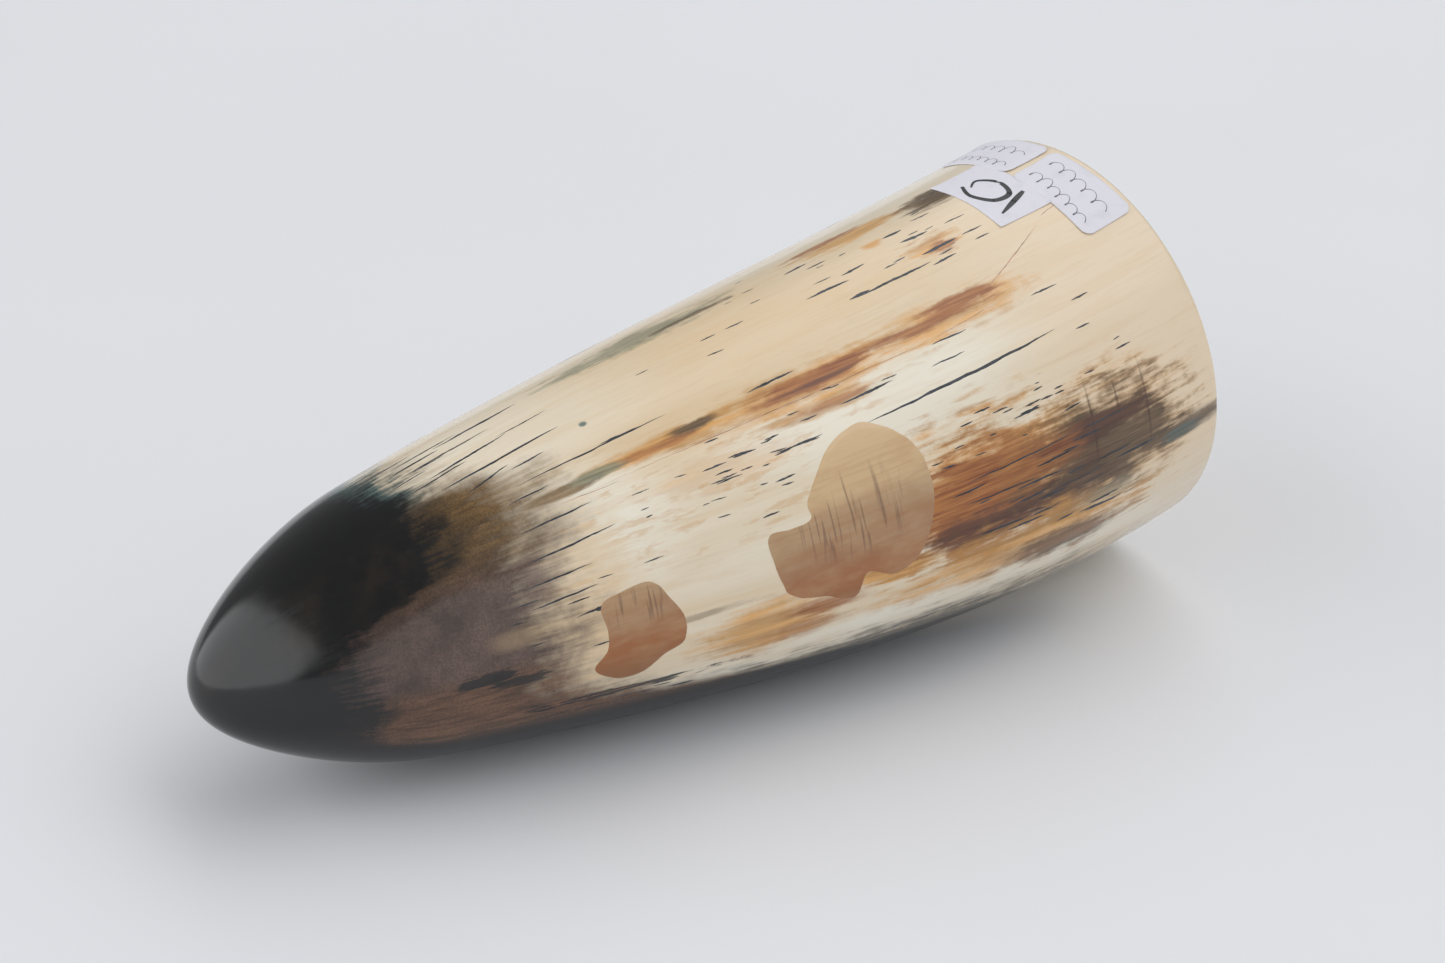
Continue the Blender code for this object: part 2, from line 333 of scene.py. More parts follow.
def sliver_tree(wrap):
    """Tree that puts a slim lens on each flat point, roughens it and wraps it."""
    tree, g, given = new_group(
        "Slivers", "GeometryNodeTree",
        [("Geometry", GEOMETRY, None), ("Centre Line", "NodeSocketObject", None),
         ("Material", MATERIAL, None), ("Crown", FLOAT, 0.03 * MM), ("Sunk", FLOAT, 0.012 * MM),
         ("Wander", FLOAT, 0.55 * MM), ("Wander Length", FLOAT, 4.0 * MM),
         ("Steps Along", "NodeSocketInt", 25)], [("Geometry", GEOMETRY)])
    points, centre_line, material, crown, sunk, wander, wander_length, steps = given[:8]
    grid = g.node("GeometryNodeMeshGrid", 1.0, 1.0, steps, 3)
    x, y, _ = g.split(g.node("GeometryNodeInputPosition"))
    lens = g.math("POWER", g.math("MAXIMUM", 0.0, g.sub(1.0,
                                                        g.math("POWER", g.mul(x, 2.0), 2.0))),
                  0.6)
    ridge = g.sub(1.0, g.math("POWER", g.mul(y, 2.0), 2.0))
    height = g.sub(g.mul(g.mul(ridge, lens), crown), sunk)
    across = g.mul(y, lens)
    shaped = g.node("GeometryNodeSetPosition", named={
        "Geometry": grid, "Position": g.xyz(x, across, height)})
    kept = g.node("GeometryNodeStoreNamedAttribute", data_type="FLOAT", domain="POINT",
                  named={"Geometry": shaped, "Name": "across", "Value": across})

    def read(name, kind="FLOAT"):
        return g.node("GeometryNodeInputNamedAttribute", name, data_type=kind).outputs[0]

    placed = g.node("GeometryNodeInstanceOnPoints", named={
        "Points": points, "Instance": kept, "Scale": read("extent", "FLOAT_VECTOR"),
        "Rotation": g.xyz(0.0, 0.0, read("slope"))})
    real = g.node("GeometryNodeRealizeInstances", placed)
    run, way, lift = g.split(g.node("GeometryNodeInputPosition"))
    chance = g.mul(read("chance"), 40.0)
    bend = g.noise(g.xyz(g.div(run, wander_length), chance), 1.0, 3.0, 0.6)
    swell = g.noise(g.xyz(g.div(run, 0.9 * MM), chance, 7.0), 1.0, 2.0)
    width = g.split(read("extent", "FLOAT_VECTOR"))[1]
    moved = g.add(way, g.add(g.mul(wander, g.sub(bend, 0.5)),
                             g.mul(g.mul(read("across"), width),
                                   g.math("MULTIPLY_ADD", swell, 1.6, -0.8))))
    roughened = g.node("GeometryNodeSetPosition", named={
        "Geometry": real, "Position": g.xyz(run, moved, lift)})
    line = g.node("GeometryNodeObjectInfo", centre_line)
    wrapped = g.group(wrap, roughened, line.outputs["Geometry"])
    smooth = g.node("GeometryNodeSetShadeSmooth", wrapped)
    hand_over(g, smooth, material)
    return tree


def pen_tree(wrap):
    """Tree that turns flat pen strokes into thin ribbons and wraps them."""
    tree, g, given = new_group(
        "Pen strokes", "GeometryNodeTree",
        [("Geometry", GEOMETRY, None), ("Centre Line", "NodeSocketObject", None),
         ("Material", MATERIAL, None)], [("Geometry", GEOMETRY)])
    strokes, centre_line, material = given[:3]
    nib = g.node("GeometryNodeCurvePrimitiveLine", (-1.0, 0.0, 0.0), (1.0, 0.0, 0.0))
    ribbon = g.node("GeometryNodeCurveToMesh", strokes, nib)
    if "Scale" in ribbon.inputs:
        g.join(g.node("GeometryNodeInputRadius"), ribbon.inputs["Scale"])
    line = g.node("GeometryNodeObjectInfo", centre_line)
    wrapped = g.group(wrap, ribbon, line.outputs["Geometry"])
    hand_over(g, wrapped, material)
    return tree


# ---------------------------------------------------------------- flat meshes

def girth(shape, run):
    """Radius of the body at a run along the centre line."""
    body = shape.sawn_radius - shape.slimming * (run / shape.length) ** 2
    into_nose = max(0.0, 1 - (shape.length - run) / shape.nose)
    return body * sqrt(max(0.0, 1 - into_nose ** 2))


def centre_line_object(shape, steps=300):
    """The bent centre line as a curve, from the sawn face to the nose."""
    points = [Vector((0.0, 0.0, 0.0))]
    for step in range(steps):
        along = (step + 0.5) / steps
        heading = shape.bend * along - shape.straightening * along ** 2
        stride = shape.length / steps
        points.append(points[-1] + stride * Vector((-cos(heading), sin(heading), 0.0)))
    curve = bpy.data.curves.new("centre line", "CURVE")
    curve.dimensions = "3D"
    spline = curve.splines.new("POLY")
    spline.points.add(len(points) - 1)
    for made, point in zip(spline.points, points):
        made.co = (*point, 1.0)
    line = bpy.data.objects.new("centre line", curve)
    bpy.context.collection.objects.link(line)
    return line


def body_profile(shape, face_rings=16, rim_rings=8, body_rings=190, nose_rings=42):
    """Run and lift of each ring, from the bottom of the nerve canal to the nose."""
    def deep(run, radius):
        return run, radius - girth(shape, run)

    profile = [deep(shape.nerve_depth * (1 - step / 6), shape.nerve_radius * step / 6)
               for step in range(6)]
    flat = shape.sawn_radius - shape.rim
    for step in range(face_rings):
        radius = shape.nerve_radius + (flat - shape.nerve_radius) * step / face_rings
        profile.append((0.0, radius - shape.sawn_radius))
    for step in range(rim_rings):
        angle = step / rim_rings * pi / 2
        profile.append((shape.rim * (1 - cos(angle)), -shape.rim * (1 - sin(angle))))
    body = shape.length - shape.nose - shape.rim
    profile += [(shape.rim + body * step / body_rings, 0.0) for step in range(body_rings)]
    profile += [(shape.length - shape.nose * (1 - sin(step / nose_rings * pi / 2)), 0.0)
                for step in range(nose_rings + 1)]
    return profile


def mesh_object(name, points, faces):
    mesh = bpy.data.meshes.new(name)
    mesh.from_pydata(points, [], faces)
    made = bpy.data.objects.new(name, mesh)
    bpy.context.collection.objects.link(made)
    return made


def body_sheet(shape):
    """The skin, the sawn face and the nerve canal, flat."""
    profile = body_profile(shape)
    columns = shape.sides + 1
    points = []
    for run, lift in profile:
        for column in range(columns):
            points.append((run, pi * SHEET_RADIUS * (2 * column / shape.sides - 1), lift))
    faces = []
    for ring in range(len(profile) - 1):
        for column in range(shape.sides):
            corner = ring * columns + column
            faces.append((corner, corner + 1, corner + columns + 1, corner + columns))
    return mesh_object("tusk_body", points, faces)


def on_sheet(run, angle):
    """Flat place of a run in millimetres and an angle in degrees."""
    return Vector((run * MM, radians(angle) * SHEET_RADIUS))


def smooth_loop(points, steps=8):
    """Closed Catmull-Rom curve through the points."""
    loop = []
    for index in range(len(points)):
        a, b, c, d = [Vector(points[(index + k) % len(points)]) for k in (-1, 0, 1, 2)]
        for step in range(steps):
            t = step / steps
            loop.append(0.5 * (2 * b + (c - a) * t + (2 * a - 5 * b + 4 * c - d) * t ** 2
                               + (3 * b - a - 3 * c + d) * t ** 3))
    return loop


def slab(name, middle, loop, profile, curl=None):
    """Closed flat slab. The profile holds (share of the outline, height) from the middle of
    the top, over the edge, to the middle of the underside."""
    points, faces = [], []
    count = len(loop)
    for share_out, height in profile:
        for point in loop:
            lift = height + (curl(point * share_out) if curl else 0.0)
            points.append((middle.x + point.x * share_out, middle.y + point.y * share_out, lift))
    for ring in range(len(profile) - 1):
        for index in range(count):
            after = (index + 1) % count
            faces.append((ring * count + index, ring * count + after,
                          (ring + 1) * count + after, (ring + 1) * count + index))
    return mesh_object(name, points, faces)


# ---------------------------------------------------------------- finishing pieces

def set_input(modifier, name, value):
    """Sets an input of a Geometry Nodes modifier by its socket's identifier."""
    for item in modifier.node_group.interface.items_tree:
        if item.item_type == "SOCKET" and item.in_out == "INPUT" and item.name == name:
            modifier[item.identifier] = value
            return
    raise KeyError(name)


def evaluate(source, tree, seat, dip, **inputs):
    """Runs a tree on an object and returns the result as a plain mesh object, laid down."""
    name = source.name
    source.name = name + " flat"
    source.data.materials.append(inputs["Material"])
    modifier = source.modifiers.new("tree", "NODES")
    modifier.node_group = tree
    for key, value in inputs.items():
        set_input(modifier, key.replace("_", " "), value)
    bpy.context.view_layer.update()
    graph = bpy.context.evaluated_depsgraph_get()
    mesh = bpy.data.meshes.new_from_object(source.evaluated_get(graph),
                                           preserve_all_data_layers=True, depsgraph=graph)
    bpy.data.objects.remove(source)
    mesh.name = name
    made = bpy.data.objects.new(name, mesh)
    bpy.context.collection.objects.link(made)
    for vertex in mesh.vertices:
        x, y, z = vertex.co
        vertex.co = (x * cos(dip) - z * sin(dip) + seat[0], y + seat[1],
                     x * sin(dip) + z * cos(dip) + seat[2])
    return made


def settle(piece, replaces):
    """Puts a finished piece on the tusk's body."""
    piece.data.update()
    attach(piece, "root")
    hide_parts(*replaces)


# ---------------------------------------------------------------- shader groups

def place_group():
    """Where a shaded point lies: its run in millimetres, its angle in degrees and its grain."""
    tree, g, _ = new_group("Place on the tusk", "ShaderNodeTree", [],
                           [("Run", FLOAT), ("Angle", FLOAT), ("Grain", VECTOR),
                            ("Place", VECTOR)])
    grain = g.node("ShaderNodeAttribute", attribute_name="grain").outputs["Vector"]
    run, cosine, sine = g.split(grain)
    angle = g.math("DEGREES", g.math("ARCTAN2", sine, cosine))
    g.node("NodeGroupOutput", run, angle, grain, g.xyz(run, angle, 0.0))
    return tree


def streaks_group():
    """Noise drawn out along the grain, from 0 to 1."""
    tree, g, given = new_group(
        "Streaks", "ShaderNodeTree",
        [("Grain", VECTOR, None), ("Length", FLOAT, 20.0), ("Width", FLOAT, 1.0),
         ("Detail", FLOAT, 2.0), ("Seed", FLOAT, 0.0)], [("Value", FLOAT)])
    grain, length, width, detail, seed = given[:5]
    x, y, z = g.split(grain)
    stretched = g.xyz(g.add(g.div(x, length), seed), g.div(y, width), g.div(z, width))
    noise = g.noise(stretched, 1.0, detail, 0.6)
    g.node("NodeGroupOutput", g.ramp(noise, 0.28, 0.72))
    return tree


def blotch_mask_group():
    """Mask of one blotch with a ragged edge: 1 in its middle, 0 outside."""
    tree, g, given = new_group(
        "Stain", "ShaderNodeTree",
        [("Place", VECTOR, None), ("Ragged", FLOAT, 0.5), ("Middle", VECTOR, None),
         ("Reach", VECTOR, (10.0, 10.0, 1.0)), ("Softness", FLOAT, 0.5),
         ("Raggedness", FLOAT, 0.5), ("Strength", FLOAT, 1.0)], [("Mask", FLOAT)])
    place, ragged, middle, reach, softness, raggedness, strength = given[:7]
    x, y, z = g.split(g.vector("SUBTRACT", place, middle))
    near = g.vector("DIVIDE", g.xyz(x, g.math("WRAP", y, -180.0, 180.0), z), reach)
    distance = g.add(g.vector("LENGTH", near), g.mul(raggedness, g.sub(ragged, 0.5)))
    half = g.mul(softness, 0.6)
    mask = g.node("ShaderNodeMapRange", distance, g.sub(1.0, half), g.add(1.0, half), 1.0, 0.0,
                  interpolation_type="SMOOTHSTEP")
    g.node("NodeGroupOutput", g.mul(mask, strength))
    return tree


def polish_group():
    """Small unevenness of a hand-polished surface: roughness and normal."""
    tree, g, given = new_group(
        "Hand polish", "ShaderNodeTree",
        [("Grain", VECTOR, None), ("Roughness", FLOAT, 0.2), ("Wear", FLOAT, 0.0),
         ("Depth", FLOAT, 1.0)], [("Roughness", FLOAT), ("Normal", VECTOR)])
    grain, roughness, wear, depth = given[:4]
    spot = g.vector("SCALE", g.node("ShaderNodeTexCoord").outputs["Object"], 1 / MM)
    x, y, z = g.split(grain)
    fine = g.noise(g.xyz(g.mul(x, 0.35), y, z), 3.2, 2.0)
    waves = g.noise(spot, 0.22, 1.0)
    pores = g.noise(spot, 4.5, 1.0)
    scratch = g.noise(g.xyz(g.mul(x, 2.6), g.mul(y, 0.3), g.mul(z, 0.3)), 2.0, 2.0)
    uneven = g.add(g.mul(g.ramp(fine, 0.35, 0.7), 0.025),
                   g.mul(g.ramp(scratch, 0.55, 0.75), 0.05))
    rough = g.add(g.add(roughness, uneven), g.mul(wear, 0.12))
    height = g.add(g.mul(waves, 0.05), g.add(g.mul(pores, 0.0022), g.mul(fine, 0.0016)))
    bump = g.node("ShaderNodeBump", named={"Strength": 0.6, "Distance": MM,
                                           "Height": g.mul(height, depth)})
    g.node("NodeGroupOutput", rough, bump)
    return tree


def shader_groups():
    return {"place": place_group(), "streaks": streaks_group(), "blotch_mask": blotch_mask_group(),
            "polish": polish_group()}


IVORY_IOR = 1.54


def polish(g, shader, groups, grain, paint, roughness, wear):
    """Gives a shader its paint and the hand-polished finish."""
    finish = g.group(groups["polish"], grain, roughness, wear, 1.0)
    g.join(paint, shader.inputs["Base Color"])
    g.join(finish.outputs[0], shader.inputs["Roughness"])
    g.join(finish.outputs[1], shader.inputs["Normal"])


def new_material(name):
    material = bpy.data.materials.new(name)
    material.use_nodes = True
    shader = material.node_tree.nodes["Principled BSDF"]
    return material, Graph(material.node_tree), shader


# ---------------------------------------------------------------- ivory

# Stains, and among them a few painted highlights and painted shade: colour, (run in mm, angle in
# degrees) of the middle, (half length, half width), softness, raggedness, strength. Later ones
# lie over earlier ones.
TINTS = [
    ("peach", (72, 14), (34, 30), 0.9, 0.3, 0.6),
    ("peach", (30, 12), (22, 20), 0.9, 0.4, 0.45),
    # painted highlight: the whitish sheen on the front between the rust streak and the big patch,
    # laid in the chalk tone
    ("chalk", (54, 47), (22, 14), 0.9, 0.4, 0.8),
    ("chalk", (99, 52), (12, 22), 0.8, 0.4, 0.8),
    ("chalk", (102, 8), (20, 16), 0.9, 0.3, 0.5),
    ("blush", (6, 45), (24, 60), 0.7, 0.2, 0.85),
    ("chalk", (52, 117), (38, 7), 0.7, 0.3, 0.6),
    ("peach", (88, -140), (34, 36), 0.9, 0.3, 0.7),
    ("chalk", (40, 170), (40, 30), 0.9, 0.3, 0.5),
]
STAINS_AND_PAINTED_LIGHT = [
    # streak over the front, with its sharp lower edge
    ("orange", (63, 34.5), (16, 5.4), 0.8, 1.0, 0.9),
    ("orange", (41, 33), (14, 4.8), 0.8, 1.0, 0.85),
    ("orange", (84, 33.6), (12, 3.0), 0.7, 0.9, 0.9),
    ("honey", (99, 35.2), (5, 2.0), 0.5, 0.8, 0.95),
    ("orange", (60, 42), (9, 2.4), 0.8, 1.0, 0.7),
    ("rust", (86, 33.8), (6, 1.3), 0.6, 1.2, 0.8),
    ("lichen", (94, 34), (4.0, 1.8), 0.7, 0.8, 0.85),
    ("olive", (79, 32), (3.2, 1.4), 0.7, 0.9, 0.9),
    ("rust", (61, 33.8), (9, 2.5), 0.7, 1.2, 0.95),
    ("umber", (60, 34.6), (5.5, 0.7), 0.8, 1.0, 0.6),
    ("rust", (59, 42), (5, 1.0), 0.7, 1.2, 0.7),
    ("rust", (44, 32.4), (10, 1.7), 0.7, 1.3, 0.85),
    ("rust", (36, 31), (5, 2.6), 0.8, 1.4, 0.9),
    ("orange", (78, 48), (9, 5), 0.9, 1.6, 0.35),
    # streaks and specks on top
    ("orange", (39, -11.5), (9, 3.0), 0.8, 1.0, 0.8),
    ("rust", (43, -15), (6, 1.5), 0.7, 0.9, 0.85),
    ("orange", (38.5, -1.4), (1.8, 1.3), 0.7, 1.0, 0.9),
    ("orange", (32, 9.5), (3.6, 4), 0.8, 1.6, 0.85),
    ("rust", (31, 11.5), (2.0, 2.6), 0.7, 1.6, 0.8),
    ("olive", (21, -10), (8, 4.6), 0.7, 0.9, 0.95),
    ("lichen", (76, -13), (13, 4.6), 0.9, 1.3, 0.75),
    ("olive", (68, -10.5), (7, 1.2), 0.7, 1.2, 0.7),
    ("teal", (91.7, 15), (0.55, 1.0), 0.7, 0.2, 0.9),
    # orange haze round the bark islands
    ("orange", (77, 102), (9, 9), 0.8, 0.8, 0.85),
    ("rust", (71, 107), (5, 3.5), 0.9, 1.0, 0.5),
    ("honey", (89, 90), (9, 1.2), 0.8, 0.9, 0.5),
    ("orange", (57, 96), (8, 3.4), 0.7, 0.8, 0.9),
    ("rust", (68, 100), (6, 3.0), 0.8, 0.9, 0.8),
    # painted highlight: the white sheen on the lower side under the large bark island, laid in
    # the chalk tone
    ("chalk", (58, 113), (13, 3.4), 0.8, 0.9, 0.8),
    # big patch at the sawn end
    ("orange", (42, 82), (17.5, 19), 0.6, 1.1, 0.85),
    ("rust", (42, 85), (15, 17), 0.6, 1.0, 0.95),
    ("orange", (22, 85), (15, 20), 0.6, 0.9, 0.6),
    ("olive", (22, 85), (13.5, 16.5), 0.6, 1.0, 0.95),
    ("umber", (43, 93), (11, 5), 0.7, 0.9, 0.8),
    ("umber", (31, 91), (11, 7), 0.8, 1.0, 0.5),
    ("umber", (23, 78), (9, 3.4), 0.8, 1.1, 0.8),
    ("rust", (33, 80), (5, 6), 0.8, 1.4, 0.6),
    ("orange", (36, 105), (19, 9), 0.8, 1.2, 0.75),
    ("umber", (29, 110), (11, 4.6), 0.8, 1.0, 0.75),
    ("peach", (22, 100), (4, 2.4), 0.9, 1.4, 0.6),
    ("olive", (6, 91), (7, 2.8), 0.8, 0.6, 0.9),
    ("teal", (21, 99), (5, 3), 0.9, 1.2, 0.45),
    ("teal", (8, 92), (3.5, 1.8), 0.8, 0.7, 0.6),
    ("peach", (103, 70), (8, 30), 0.9, 0.9, 0.6),
    # growth marks across the big patch
    ("umber", (24, 78), (0.22, 11), 0.9, 0.3, 0.7),
    ("umber", (19.3, 74), (0.2, 6), 0.9, 0.3, 0.6),
    ("umber", (14.2, 78), (0.22, 10), 0.9, 0.3, 0.6),
    # dark band under the belly: partly the real black line along the lower edge, partly painted
    # shade of the underside over the shadowed table
    ("soot", (66, 132), (45, 10.5), 0.9, 1.0, 0.8),
    # unseen side: quieter marks of the same kinds
    ("lichen", (58, -64), (22, 8), 0.8, 0.8, 0.6),
    ("orange", (92, -72), (14, 6), 0.7, 0.9, 0.7),
    ("rust", (93, -73), (9, 2.6), 0.6, 0.9, 0.8),
    ("orange", (36, -118), (20, 13), 0.5, 0.8, 0.8),
    ("rust", (34, -120), (15, 8), 0.6, 0.9, 0.8),
    ("olive", (88, -128), (16, 7), 0.7, 0.9, 0.6),
    ("orange", (70, 160), (24, 12), 0.8, 0.8, 0.6),
    ("umber", (98, 150), (22, 12), 0.7, 0.8, 0.6),
]
# Blotches that lie over the brown ground beside the nose
BLOTCHES = [
    ("peach", (112, 78), (3.8, 3.6), 0.9, 0.3, 0.22),
    ("soot", (117, 91), (4.5, 2.6), 0.5, 1.9, 0.9),
    ("soot", (112, 95), (3.4, 2.2), 0.5, 1.9, 0.85),
    ("soot", (100, 113), (12, 1.6), 0.5, 1.9, 0.9),
]
# Edges of the dark nose: the run where it begins, at angles round the tusk
BLACK_EDGE = [(-180, 108), (-140, 118), (-90, 116), (-50, 120), (-25, 120), (0, 118), (14, 115),
              (40, 115), (50, 122), (60, 130), (78, 132), (96, 129), (112, 131), (122, 126),
              (134, 112), (150, 98), (180, 108)]
# Edges of the brown ground, as for BLACK_EDGE. From angle 128 to 156 it reaches far back along
# the belly, where the ground is black: partly the real black line, partly painted shade of the
# underside
BROWN_EDGE = [(-180, 100), (-140, 110), (-90, 108), (-50, 116), (-25, 118), (0, 116), (12, 112),
              (24, 103), (42, 103), (60, 106), (78, 105), (96, 105), (108, 101), (118, 90),
              (128, 60), (136, 34), (146, 22), (156, 36), (180, 100)]


def ivory_material(look, groups):
    """Stained, cracked and polished ivory, with a few painted highlights and some painted shade
    under the belly.
    """
    material, g, shader = new_material("polished ivory")
    place = g.group(groups["place"])
    run, angle, grain, spot = place.outputs[:4]

    def streaks(length, width, detail=2.0, seed=0.0):
        return g.group(groups["streaks"], grain, length, width, detail, seed).outputs[0]

    object_mm = g.vector("SCALE", g.node("ShaderNodeTexCoord").outputs["Object"], 1 / MM)
    broad = streaks(45.0, 6.0, 2.0, 3.0)
    band = streaks(26.0, 1.6, 3.0, 11.0)
    thread = streaks(9.0, 0.42, 4.0, 23.0)
    finger = streaks(7.0, 0.9, 4.0, 31.0)
    cloud = g.ramp(g.noise(object_mm, 0.16, 4.0, 0.65), 0.3, 0.7)
    speck = g.ramp(g.noise(object_mm, 3.4, 2.0), 0.4, 0.62)
    ragged = g.math("MULTIPLY_ADD", finger, 0.6, g.mul(cloud, 0.4))

    # Two tones of each stain, so that none is flat
    def toned(name, lighter, darker, by):
        base = Vector(getattr(look, name))
        return g.mix(by, tuple(base * darker), tuple(min(1.0, v * lighter) for v in base))

    tones = {
        "peach": look.peach, "chalk": look.chalk, "blush": look.blush,
        "orange": toned("orange", 1.35, 0.75, band),
        "rust": g.mix(thread, tuple(Vector(look.rust) * 0.6),
                      tuple(Vector(look.rust).lerp(Vector(look.orange), 0.45))),
        "soot": toned("soot", 2.2, 0.8, finger),
        "umber": toned("umber", 1.9, 0.6, band),
        "olive": toned("olive", 1.45, 0.5, thread),
        "lichen": toned("lichen", 1.35, 0.7, thread),
        "teal": toned("teal", 1.5, 0.7, band),
        "honey": toned("honey", 1.5, 0.6, finger)}

    paint = g.mix(broad, look.cream, tuple(Vector(look.cream).lerp(Vector(look.chalk), 0.5)))

    # lays each listed patch over the paint in turn: stains and tints, and the few painted
    # highlights and painted shade among them
    def lay(paint, stains):
        for name, middle, reach, softness, raggedness, strength in stains:
            mask = g.group(groups["blotch_mask"], spot, ragged, (*middle, 0.0), (*reach, 1.0),
                           softness, raggedness, strength).outputs[0]
            paint = g.mix(mask, paint, tones[name])
        return paint

    paint = lay(paint, TINTS)
    # lengthwise growth lines, faint and dense
    paint = g.mix(g.mul(g.ramp(band, 0.5, 1.0), 0.22), paint, look.peach)
    paint = g.mix(g.mul(g.ramp(thread, 0.6, 1.0), 0.05), paint, look.honey)
    # orange smudges between the cracks of the front
    smudge = g.mul(g.ramp(streaks(6.0, 1.6, 4.0, 47.0), 0.62, 1.0),
                   g.mul(g.ramp(angle, 16.0, 40.0), g.ramp(angle, 86.0, 60.0)))
    paint = g.mix(g.mul(smudge, g.mul(g.ramp(run, 34.0, 60.0), 0.4)), paint, look.orange)
    paint = lay(paint, STAINS_AND_PAINTED_LIGHT)

    # brown ground before the nose: golden on top, grey brown at the side, red below
    brown = g.mix(g.ramp(angle, 38.0, 58.0), tones["honey"], toned("mauve", 1.35, 0.6, cloud))
    brown = g.mix(g.ramp(angle, 84.0, 96.0), brown, toned("chestnut", 1.4, 0.5, finger))
    # black at the very bottom: partly the real black line along the lower edge, partly painted
    # shade of the underside over the shadowed table
    brown = g.mix(g.ramp(angle, 116.0, 128.0), brown, look.soot)
    brown = g.mix(g.ramp(angle, -12.0, -30.0), brown, tones["teal"])
    brown = g.mix(g.mul(speck, 0.3), brown, look.soot)
    feather = g.add(g.mul(g.sub(finger, 0.5), 4.0), g.mul(g.sub(cloud, 0.5), 5.0))
    rise = g.add(run, feather)
    brown_mask = g.ramp(g.sub(rise, g.curve(angle, -180, 180, BROWN_EDGE)), -8, 7)
    paint = lay(g.mix(brown_mask, paint, brown), BLOTCHES)
    black_from = g.curve(angle, -180, 180, BLACK_EDGE)
    teal_mask = g.mul(g.ramp(g.sub(rise, black_from), -4.0, 1.0), g.ramp(angle, 22.0, 2.0))
    paint = g.mix(teal_mask, paint, tones["teal"])
    black_mask = g.ramp(g.sub(rise, black_from), -3.0, 5.0)
    tinge = g.mul(g.ramp(cloud, 0.3, 1.0), g.mul(g.ramp(angle, 12.0, 30.0),
                                                 g.ramp(angle, 62.0, 44.0)))
    black = g.mix(g.mul(tinge, 0.07), look.soot, look.honey)
    paint = g.mix(black_mask, paint, black)

    wear = g.mul(g.ramp(finger, 0.5, 1.0), 0.5)
    polish(g, shader, groups, grain, paint, look.roughness, wear)
    shader.inputs["IOR"].default_value = IVORY_IOR
    return material


def sawn_material(look, groups):
    """The sawn face: growth rings, crossed fine lines and a dark nerve in the middle."""
    material, g, shader = new_material("sawn ivory")
    place = g.group(groups["place"])
    angle, grain = place.outputs[1:3]
    _, y, z = g.split(grain)
    radius = g.vector("LENGTH", g.xyz(0.0, y, z))
    object_mm = g.vector("SCALE", g.node("ShaderNodeTexCoord").outputs["Object"], 1 / MM)
    cloud = g.noise(object_mm, 0.12, 3.0)
    rings = g.noise(g.xyz(g.mul(radius, 0.9), g.mul(cloud, 1.4)), 1.0, 3.0, 0.6)
    # crossed arcs: two spirals that turn opposite ways, strongest near the rim
    spiral = g.mul(angle, 0.55)
    arc = g.mul(radius, 3.4)
    cross = g.mul(g.math("SINE", g.add(spiral, arc)), g.math("SINE", g.sub(spiral, arc)))
    paint = g.mix(g.ramp(rings, 0.35, 0.65), look.cream, look.blush)
    hatch = g.mul(g.ramp(cross, 0.1, 0.9), g.ramp(radius, 6.0, 24.0))
    paint = g.mix(g.mul(hatch, 0.08), paint, look.honey)
    paint = g.mix(g.mul(g.ramp(rings, 0.56, 0.72), 0.35), paint, look.orange)
    paint = g.mix(g.mul(g.ramp(radius, 4.5, 1.2), 0.8), paint, look.umber)
    paint = g.mix(g.mul(g.ramp(cloud, 0.55, 0.75), 0.4), paint, look.chalk)
    paint = g.mix(g.mul(g.ramp(radius, 25.5, 27.0), 0.35), paint, look.peach)
    polish(g, shader, groups, grain, paint, look.roughness + 0.08, 0.4)
    shader.inputs["IOR"].default_value = IVORY_IOR
    return material


def bark_material(look, groups):
    """Amber remnants of the bark, with growth lines across the grain."""
    material, g, shader = new_material("amber bark")
    place = g.group(groups["place"])
    angle, grain, spot = place.outputs[1:4]
    streak = g.group(groups["streaks"], grain, 14.0, 0.6, 2.0, 5.0).outputs[0]
    broad = g.group(groups["streaks"], grain, 8.0, 4.0, 3.0, 9.0).outputs[0]
    x, y, z = g.split(grain)
    ticks = g.noise(g.xyz(g.mul(x, 2.4), g.mul(y, 0.14), g.mul(z, 0.14)), 1.0, 0.0)
    ground = g.add(g.ramp(angle, 60.0, 104.0), g.mul(g.sub(broad, 0.5), 0.4))
    paint = g.mix(ground, look.bark_light, look.bark_dark)
    band = g.mul(g.ramp(angle, 66.0, 74.0), g.ramp(angle, 96.0, 84.0))
    paint = g.mix(g.mul(band, 0.24), paint, look.mauve)
    paint = g.mix(g.mul(g.ramp(streak, 0.5, 1.0), 0.16), paint, look.bark_dark)
    paint = g.mix(g.mul(g.ramp(angle, 88.0, 108.0), 0.4), paint, look.honey)
    paint = g.mix(g.mul(g.ramp(angle, 66.0, 52.0), 0.5), paint, look.peach)
    ticked = g.group(groups["blotch_mask"], spot, 0.5, (63.0, 74.0, 0.0), (8.0, 12.0, 1.0), 0.6, 0.0,
                     0.75).outputs[0]
    ticked_small = g.group(groups["blotch_mask"], spot, 0.5, (95.0, 80.0, 0.0), (4.0, 7.0, 1.0), 0.8,
                           0.0, 0.75).outputs[0]
    lines = g.mul(g.ramp(ticks, 0.58, 0.74), g.mul(g.add(ticked, ticked_small), 0.6))
    paint = g.mix(lines, paint, look.umber)
    polish(g, shader, groups, grain, paint, look.roughness, 0.3)
    shader.inputs["IOR"].default_value = IVORY_IOR
    shader.inputs["Coat Weight"].default_value = 0.4
    shader.inputs["Coat Roughness"].default_value = 0.1
    return material


def mineral_material(name, base, look, groups):
    """Dark mineral in the cracks, polished down with the ivory."""
    material, g, shader = new_material(name)
    place = g.group(groups["place"])
    grain = place.outputs[2]
    streak = g.group(groups["streaks"], grain, 2.0, 0.5, 3.0, 2.0).outputs[0]
    dark = tuple(Vector(base) * 0.45)
    pale = tuple(min(1.0, v * 1.9) for v in base)
    paint = g.mix(streak, dark, pale)
    polish(g, shader, groups, grain, paint, look.roughness + 0.1, 0.5)
    return material


